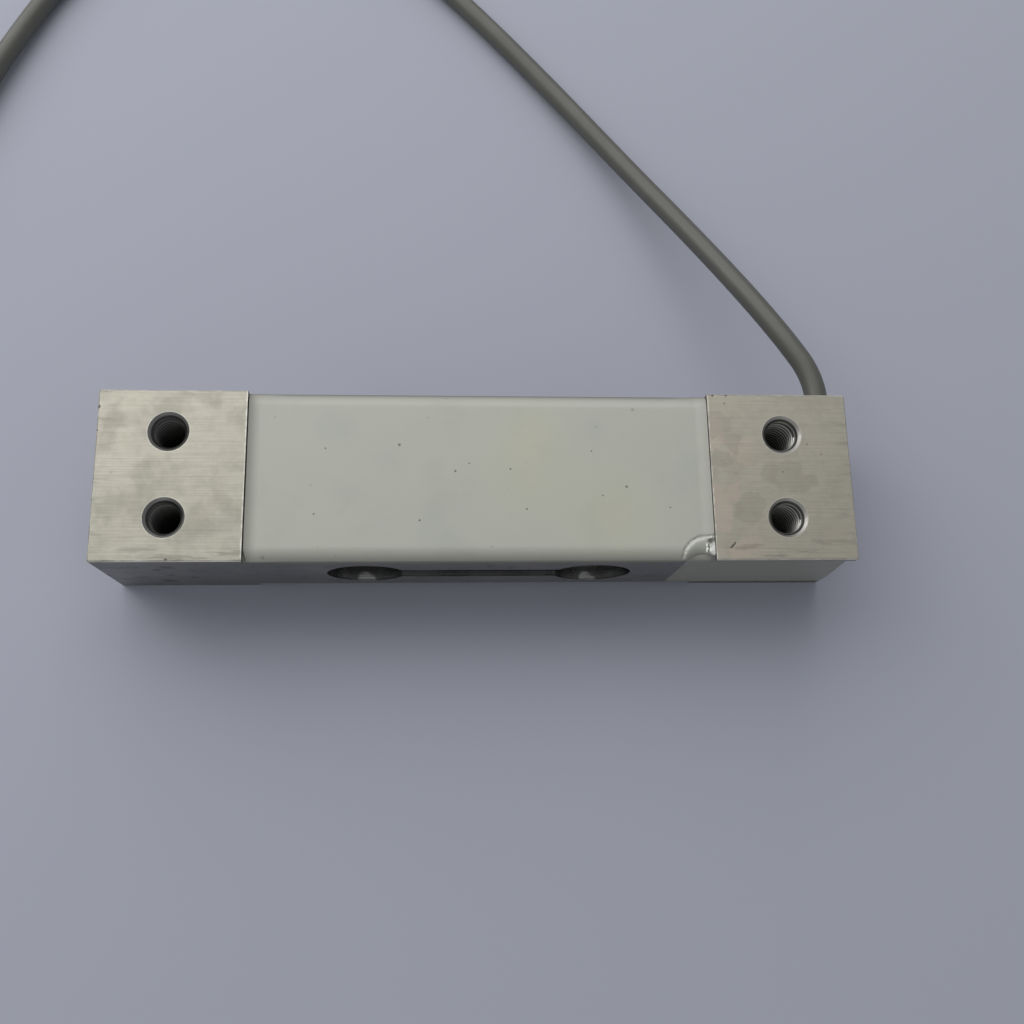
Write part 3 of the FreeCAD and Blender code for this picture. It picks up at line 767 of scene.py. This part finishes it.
def makeJacket():
    material, tree, shader, place = newMaterial("cableJacket", jacket["roughness"])
    worn, relief = jacket["worn"], jacket["relief"]
    colour = tint(tree, jacket["colour"], jacket["dull"], patches(tree, place, worn), worn["amount"])
    tree.links.new(colour, shader.inputs["Base Color"])
    fine = fineNoise(tree, place, relief["scale"], relief["detail"])
    addBump(tree, shader, fine.outputs["Fac"], relief["depth"], relief["strength"])
    return material


plainPatches = {"fade": (0.40, 0.70), "rougher": 0.12, "depth": 0.02, "strength": 0.4}
# slot: colour, darker colour, roughness, metallic, pattern scale
plainFinishes = {
    "gauge_film": ((0.62, 0.33, 0.06), (0.42, 0.20, 0.03), 0.30, 0.0, 600),
    "gauge_foil": ((0.60, 0.56, 0.48), (0.42, 0.38, 0.32), 0.35, 1.0, 1500),
    "terminal_laminate": ((0.09, 0.24, 0.12), (0.05, 0.16, 0.08), 0.45, 0.0, 900),
    "copper": ((0.80, 0.52, 0.36), (0.58, 0.34, 0.22), 0.38, 1.0, 1200),
    "enamelled_wire": ((0.50, 0.16, 0.06), (0.34, 0.09, 0.03), 0.25, 0.3, 2000),
    "link_insulation": ((0.80, 0.79, 0.74), (0.66, 0.65, 0.60), 0.45, 0.0, 900),
    "board_laminate": ((0.06, 0.26, 0.13), (0.04, 0.18, 0.09), 0.35, 0.0, 900),
    "solder": ((0.66, 0.66, 0.65), (0.46, 0.46, 0.46), 0.32, 1.0, 1500),
    "resistor_ceramic": ((0.06, 0.06, 0.065), (0.03, 0.03, 0.03), 0.5, 0.0, 1200),
    "core_red": ((0.55, 0.035, 0.03), (0.40, 0.02, 0.02), 0.38, 0.0, 700),
    "core_black": ((0.028, 0.028, 0.03), (0.015, 0.015, 0.016), 0.38, 0.0, 700),
    "core_green": ((0.03, 0.30, 0.09), (0.02, 0.21, 0.06), 0.38, 0.0, 700),
    "core_white": ((0.78, 0.78, 0.75), (0.64, 0.64, 0.60), 0.38, 0.0, 700),
    "seal_rubber": ((0.035, 0.035, 0.035), (0.02, 0.02, 0.02), 0.7, 0.0, 900),
    "sleeve_plastic": ((0.03, 0.03, 0.032), (0.018, 0.018, 0.018), 0.5, 0.0, 800),
    "tie_nylon": ((0.76, 0.76, 0.70), (0.62, 0.62, 0.56), 0.42, 0.0, 500),
    "tinned_copper": ((0.70, 0.69, 0.66), (0.48, 0.46, 0.44), 0.34, 1.0, 2500),
}


def makePlain(slot):
    colour, darker, roughness, metallic, scale = plainFinishes[slot]
    material, tree, shader, place = newMaterial(slot, roughness, metallic)
    uneven = patches(tree, place, {"scale": float(scale), "fade": plainPatches["fade"]})
    tree.links.new(mixColour(tree, uneven, colour, darker), shader.inputs["Base Color"])
    rough = maths(tree, "ADD", product(tree, uneven, plainPatches["rougher"]), roughness)
    tree.links.new(rough, shader.inputs["Roughness"])
    addBump(tree, shader, uneven, plainPatches["depth"], plainPatches["strength"])
    return material


topSheet = {
    "halfLength": 40.0,
    "halfWidth": 15.0,
    "floor": 20.0,
    "level": 21.2,
    "shoulder": (2.5, 1.08),   # how far in and how far down it rounds over
    "meniscus": 2.3,           # width of the climb to each step
    "climb": 0.66,
    "crevice": (0.20, 0.10),   # shrinkage gap at the load end's step and the fixed end's
    "creviceDepth": (0.9, 0.35),
    "creviceFoot": 0.4,        # share of the gap's width that is at full depth
    # wider towards the load end's corners: by how much, and over which places across
    "creviceNear": (0.55, -12.6, -15.2),
    "creviceFar": (1.2, 14.0, 15.1),
    "inset": 0.25,             # how far the rounded sides stand back from the beam's
    "insetRise": 0.1,          # it grows over this height, from the steps inwards, and across
    "insetEnds": (1.5, 7.5),
    "insetAcross": (10, 15),
    "wave": {"height": 0.03, "along": 0.09, "across": 0.12, "layer": 3.1},
    # shares of the grid across for the upright wall and the end of the rounding
    "wallShare": 0.03,
    "roundShare": 0.17,
    # share of the grid: place
    "columns": 300,
    "alongStops": [(0, -40), (0.13, -36.8), (0.48, 33.6), (1, 40)],
    "rows": 210,
    "acrossStops": [(0.17, -12.5), (0.46, -9.4), (0.83, 12.5)],
}

# where the skin sags over the wires at the corner, and the cut round it
sag = {
    "centre": (38.55, -14.9),
    "radius": 3.95,
    "start": 33.5,             # along the beam
    "reach": 2.0,              # beyond the radius
    "ragged": [(0.12, 2.3, 1.7), (0.05, 7.0, 4.0)],       # height, scale and layer of the noise
    "groove": {"depth": 0.14, "out": 0.30, "width": 0.24},
    "crest": 0.20,
    "turn": (-0.25, 0.45),     # the roll begins and is full, inside the radius
    "roll": (1.9, 0.62),       # exponents of the rolled skin's section
    "pit": {"place": (39.35, -11.5), "size": 0.42, "squash": 0.7, "depth": 0.6},
    "arch": {"start": 34.9, "length": 3.2, "back": -15.0, "depth": 1.45,
             "turn": 38.3, "slope": 0.3, "crown": 20.1},
    "under": {"steepness": 1.4, "thickness": 0.2, "drop": 0.9},
    "thinnest": 0.05,
}


def between(stops, share):
    for (low, start), (high, end) in zip(stops, stops[1:]):
        if share <= high:
            return start + (end - start) * (share - low) / (high - low)
    return stops[-1][1]


def smooth(low, high, value):
    share = min(max((value - low) / (high - low), 0), 1)
    return share * share * (3 - 2 * share)


def archBack(x):
    # how far back the front edge of the sagged skin lies
    arch = sag["arch"]
    share = min(max((x - arch["start"]) / arch["length"], 0), 1)
    back = arch["back"] + arch["depth"] * math.sin(share * math.pi / 2)
    return back - arch["slope"] * max(x - arch["turn"], 0)


def crossSection(share):
    # the skin's profile across the beam, from the near side's foot to the far side's
    wide, deep = topSheet["shoulder"]
    low, halfWidth = topSheet["floor"], topSheet["halfWidth"]
    base = topSheet["level"] - deep
    wall, rounded = topSheet["wallShare"], topSheet["roundShare"]
    for side, lift in ((-1, share), (1, 1 - share)):
        if lift < wall:
            return side * halfWidth, low + (base - low) * lift / wall
        if lift < rounded:
            angle = (lift - wall) / (rounded - wall) * math.pi / 2
            return side * (halfWidth - wide * (1 - math.cos(angle))), base + deep * math.sin(angle)
    return between(topSheet["acrossStops"], share), topSheet["level"]


def creviceAt(x, y):
    # width and depth of the shrinkage gap beside a step
    if x >= 0:
        return topSheet["crevice"][1], topSheet["creviceDepth"][1]
    gap = topSheet["crevice"][0]
    for wider, start, end in (topSheet["creviceNear"], topSheet["creviceFar"]):
        gap += wider * smooth(start, end, y)
    return gap, topSheet["creviceDepth"][0]


def shapeTopSkin(x, y, z):
    low, reach, wave = topSheet["floor"], topSheet["halfLength"] - abs(x), topSheet["wave"]
    onTop = smooth(low, topSheet["level"], z)
    back = topSheet["inset"] * smooth(low, low + topSheet["insetRise"], z)
    back *= smooth(*topSheet["insetEnds"], reach) * smooth(*topSheet["insetAcross"], abs(y))
    y -= math.copysign(back, y)
    z += topSheet["climb"] * (1 - min(reach / topSheet["meniscus"], 1)) ** 2 * onTop
    rise = noise.noise(Vector((x * wave["along"], y * wave["across"], wave["layer"])))
    z += wave["height"] * rise * onTop
    gap, depth = creviceAt(x, y)
    z -= depth * smooth(gap, topSheet["creviceFoot"] * gap, reach) * onTop
    return shapeSag(x, y, z, onTop)


def shapeSag(x, y, z, onTop):
    centreX, centreY = sag["centre"]
    radius, groove, pit, under = sag["radius"], sag["groove"], sag["pit"], sag["under"]
    left = min(x - centreX, 0)
    inside = radius - math.hypot(left, y - centreY)
    if x < sag["start"] or inside < -sag["reach"]:
        return x, y, z
    for height, scale, layer in sag["ragged"]:
        inside += height * noise.noise(Vector((x * scale, y * scale, layer)))
    z -= groove["depth"] * math.exp(-((inside + groove["out"]) / groove["width"]) ** 2) * onTop
    fromPit = ((x - pit["place"][0]) / pit["size"],
               (y - pit["place"][1]) / (pit["squash"] * pit["size"]))
    pitDepth = pit["depth"] * math.exp(-(fromPit[0] ** 2 + fromPit[1] ** 2))
    if inside > sag["turn"][0]:
        back, low = archBack(x), sag["arch"]["crown"]
        top = topSheet["level"] + sag["crest"]
        rimY = centreY + math.sqrt(max(radius ** 2 - left ** 2, 0))
        share = max((rimY - y) / max(rimY - back, sag["thinnest"]), 0)
        if share <= 1:
            full, flat = sag["roll"]
            roll = low + (top - low) * max(1 - share ** full, 0) ** flat
            z += (roll - z) * smooth(*sag["turn"], inside)
        else:
            z = max(low - under["steepness"] * (back - y), topSheet["floor"] - under["drop"])
            y = back - under["thickness"] * (back - y)
    return x, y, z - pitDepth


def newPiece(name, form, slot, *replaced, finish=None):
    mesh = bpy.data.meshes.new(name)
    form.to_mesh(mesh)
    form.free()
    for polygon in mesh.polygons:
        polygon.use_smooth = True
    mesh.materials.append(finish or finishes[slot])
    piece = bpy.data.objects.new(name, mesh)
    bpy.context.scene.collection.objects.link(piece)
    if replaced:
        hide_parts(*replaced)
    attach(piece, "root")


def makeTopSkin():
    form = bmesh.new()
    bmesh.ops.create_grid(form, x_segments=topSheet["columns"], y_segments=topSheet["rows"], size=1)
    for vertex in form.verts:
        x = between(topSheet["alongStops"], 0.5 + 0.5 * vertex.co.x)
        y, z = crossSection(0.5 + 0.5 * vertex.co.y)
        vertex.co = Vector(shapeTopSkin(x, y, z)) * mm
    rim = [edge for edge in form.edges if edge.is_boundary]
    skirt = bmesh.ops.extrude_edge_only(form, edges=rim)
    for item in skirt["geom"]:
        if isinstance(item, bmesh.types.BMVert):
            item.co.z = min(item.co.z, topSheet["floor"] * mm)
    bmesh.ops.remove_doubles(form, verts=form.verts, dist=weld)
    bmesh.ops.recalc_face_normals(form, faces=form.faces)
    newPiece("topSkin", form, "potting_silicone", "top_potting")


# torn skin at the sagging corner, each flap as its outline and height
flaps = {
    "shapes": [
        {"outline": [(39.05, -12.3), (39.3, -12.15), (39.5, -12.2), (39.75, -11.85), (39.98, -11.75),
                     (39.98, -13.95), (39.6, -13.9), (39.2, -13.6), (38.95, -13.2), (39.1, -12.7)],
         "base": 20.7, "height": 0.75},
        {"outline": [(38.45, -11.95), (38.72, -11.85), (38.66, -12.5), (38.74, -13.0), (38.6, -13.5),
                     (38.46, -13.3), (38.5, -12.6)],
         "base": 20.9, "height": 0.68},
        {"outline": [(38.4, -11.05), (39.4, -10.6), (39.6, -10.3), (39.8, -10.6), (39.97, -10.7),
                     (39.97, -11.05), (39.4, -11.0), (38.7, -11.2)],
         "base": 20.9, "height": 0.6},
    ],
    "cuts": 3,
    "ragged": {"reach": 0.07, "scale": 3.1, "upwards": 1.6},
    "seed": 3,                 # keeps the unevenness the same in every run
    "step": 39.98,             # nothing passes the fixed end's step
    "droop": (0.28, 38.9, 38.4),
}


def makeFlaps():
    noise.seed_set(flaps["seed"])
    form = bmesh.new()
    for flap in flaps["shapes"]:
        corners = [form.verts.new((x, y, flap["base"])) for x, y in flap["outline"]]
        face = form.faces.new(corners)
        raised = bmesh.ops.extrude_face_region(form, geom=[face])["geom"]
        top = [item for item in raised if isinstance(item, bmesh.types.BMVert)]
        bmesh.ops.translate(form, verts=top, vec=(0, 0, flap["height"]))
    bmesh.ops.triangulate(form, faces=form.faces)
    bmesh.ops.subdivide_edges(form, edges=form.edges, cuts=flaps["cuts"], use_grid_fill=True)
    ragged, (droop, start, end) = flaps["ragged"], flaps["droop"]
    for vertex in form.verts:
        shift = noise.noise_vector(vertex.co * ragged["scale"]) * ragged["reach"]
        shift.x = min(shift.x, flaps["step"] - vertex.co.x)
        shift.z *= ragged["upwards"]
        vertex.co += shift
        vertex.co.z -= droop * smooth(start, end, vertex.co.x)
        vertex.co *= mm
    bmesh.ops.recalc_face_normals(form, faces=form.faces)
    newPiece("tornFlaps", form, "potting_silicone", finish=finishes["tornSkin"])


# x along the beam, y across it and z up, in mm
sideSheet = {
    "lips": (1.0, 21.0),       # the pocket's lower and upper lip
    "lowFace": -14.85,         # y at the lower lip, and where it is sunk deepest
    "sunk": -13.9,
    "sunkAt": 17.5,
    "hollow": 1.4,             # exponent of the hollow
    "rise": (0.45, 1.2),       # it rises again to the upper lip: how far, and from how far above sunkAt
    # under the sagging corner: x over which it begins, z over which it dips and bulges
    "underX": (40.3, 39.4),
    "dipFrom": 15.0,
    "clearance": 0.02,
    "bulgeZ": (15.5, 19.0),
    "bulgeIn": (0.2, 35.0, 36.5),
    "archRound": 0.9,
    # the left end stays close to the beam's side
    "end": {"x": 35.0, "reach": 1.6, "face": -14.93, "aboveZ": (19.2, 20.2)},
    "wave": {"height": 0.05, "along": 0.22, "up": 0.28, "layer": 8.0, "fromZ": (1, 2.5)},
    "backWall": -12.2,
    "columns": 190,
    "alongStops": [(0, 35), (0.5, 41), (1, 65)],
    "rows": 150,
    "upStops": [(0, 1), (0.12, 1.8), (0.5, 15), (0.7, 18.2), (1, 21)],
}


def shapeSideSkin(x, z):
    low, high = sideSheet["lips"]
    back, crown = archBack(x), sag["arch"]["crown"]
    under = smooth(*sideSheet["underX"], x)
    z -= (high - crown - sideSheet["clearance"]) * under * smooth(sideSheet["dipFrom"], high, z)
    lowFace, sunkAt = sideSheet["lowFace"], sideSheet["sunkAt"]
    y = lowFace + (sideSheet["sunk"] - lowFace) * smooth(low, sunkAt, z) ** sideSheet["hollow"]
    rise, above = sideSheet["rise"]
    y -= rise * smooth(sunkAt + above, high, z) * (1 - under)
    bulge = under * smooth(*sideSheet["bulgeZ"], z)
    inset, start, full = sideSheet["bulgeIn"]
    front = lowFace + inset * smooth(start, full, x)
    y = y * (1 - bulge) + front * bulge
    turned = min(max(1 - (crown - z) / sideSheet["archRound"], 0), 1)
    y += under * (back - front) * (1 - math.sqrt(max(1 - turned ** 2, 0)))
    end, wave = sideSheet["end"], sideSheet["wave"]
    flush = smooth(end["reach"], 0, x - end["x"]) * (1 - smooth(*end["aboveZ"], z))
    y += (end["face"] - y) * flush
    swell = noise.noise(Vector((x * wave["along"], z * wave["up"], wave["layer"])))
    y += wave["height"] * swell * smooth(*wave["fromZ"], z)
    return x, y, z


def makeSideSkin():
    form = bmesh.new()
    bmesh.ops.create_grid(form, x_segments=sideSheet["columns"], y_segments=sideSheet["rows"], size=1)
    for vertex in form.verts:
        x = between(sideSheet["alongStops"], 0.5 + 0.5 * vertex.co.x)
        z = between(sideSheet["upStops"], 0.5 + 0.5 * vertex.co.y)
        vertex.co = Vector(shapeSideSkin(x, z)) * mm
    rim = [edge for edge in form.edges if edge.is_boundary]
    wall = bmesh.ops.extrude_edge_only(form, edges=rim)
    for item in wall["geom"]:
        if isinstance(item, bmesh.types.BMVert):
            item.co.y = sideSheet["backWall"] * mm
    bmesh.ops.recalc_face_normals(form, faces=form.faces)
    newPiece("sideSkin", form, "potting_silicone", "side_potting")


thread = {
    "places": [(-53, -7.5), (-53, 7.5), (53, -7.5), (53, 7.5)],
    "pitch": 1.0,
    "start": 1.3,
    "turns": 19,
    "steps": 32,
    # radius and height over one pitch
    "ridge": [(3.01, -0.5), (2.61, -0.10), (2.56, 0), (2.59, 0.07), (2.77, 0.14), (3.01, 0.5)],
    "cone": [(3.02, 0.48), (2.6, 1.15)],      # radius and depth of the lead-in at both ends
    "coneSteps": 48,
    "height": 22.0,
}


def spinProfile(form, profile, angle, steps, rise, place):
    centre = Vector((*place, 0)) * mm
    vertices = [form.verts.new(centre + Vector((radius, 0, z)) * mm) for radius, z in profile]
    edges = [form.edges.new(pair) for pair in zip(vertices, vertices[1:])]
    bmesh.ops.spin(form, geom=vertices + edges, cent=centre, axis=(0, 0, 1),
                   dvec=(0, 0, rise * mm), angle=angle, steps=steps, use_merge=rise == 0)


def makeThreads():
    # profiles run upwards, so that every face looks to its hole's axis
    form = bmesh.new()
    ridge = [(radius, thread["start"] + z) for radius, z in thread["ridge"]]
    lowCone = thread["cone"]
    highCone = [(radius, thread["height"] - depth) for radius, depth in reversed(lowCone)]
    for place in thread["places"]:
        spinProfile(form, ridge, 2 * math.pi * thread["turns"], thread["steps"] * thread["turns"],
                    thread["pitch"] / thread["steps"], place)
        for cone in (lowCone, highCone):
            spinProfile(form, cone, 2 * math.pi, thread["coneSteps"], 0, place)
    bmesh.ops.remove_doubles(form, verts=form.verts, dist=weld)
    newPiece("threads", form, "beam_aluminium")


def dress(piece, material):
    piece.data.materials.clear()
    piece.data.materials.append(material)


makeCamera()
makeRoom()
makeLamps()
makeFloor()

finishes = {
    "beam_aluminium": makeAluminium(),
    "potting_silicone": makeSilicone(),
    "cable_jacket": makeJacket(),
    "tornSkin": makeTornSkin(),
}
for slot in plainFinishes:
    finishes[slot] = makePlain(slot)
for part in frame["record"]["subparts"]:
    dress(nodes[part["node"]], finishes[part["material_slot"]])
print("finishes made:", len(finishes))

makeLead()
print("lead laid")

makeTopSkin()
makeFlaps()
makeSideSkin()
makeThreads()
print("silicone and threads shaped")
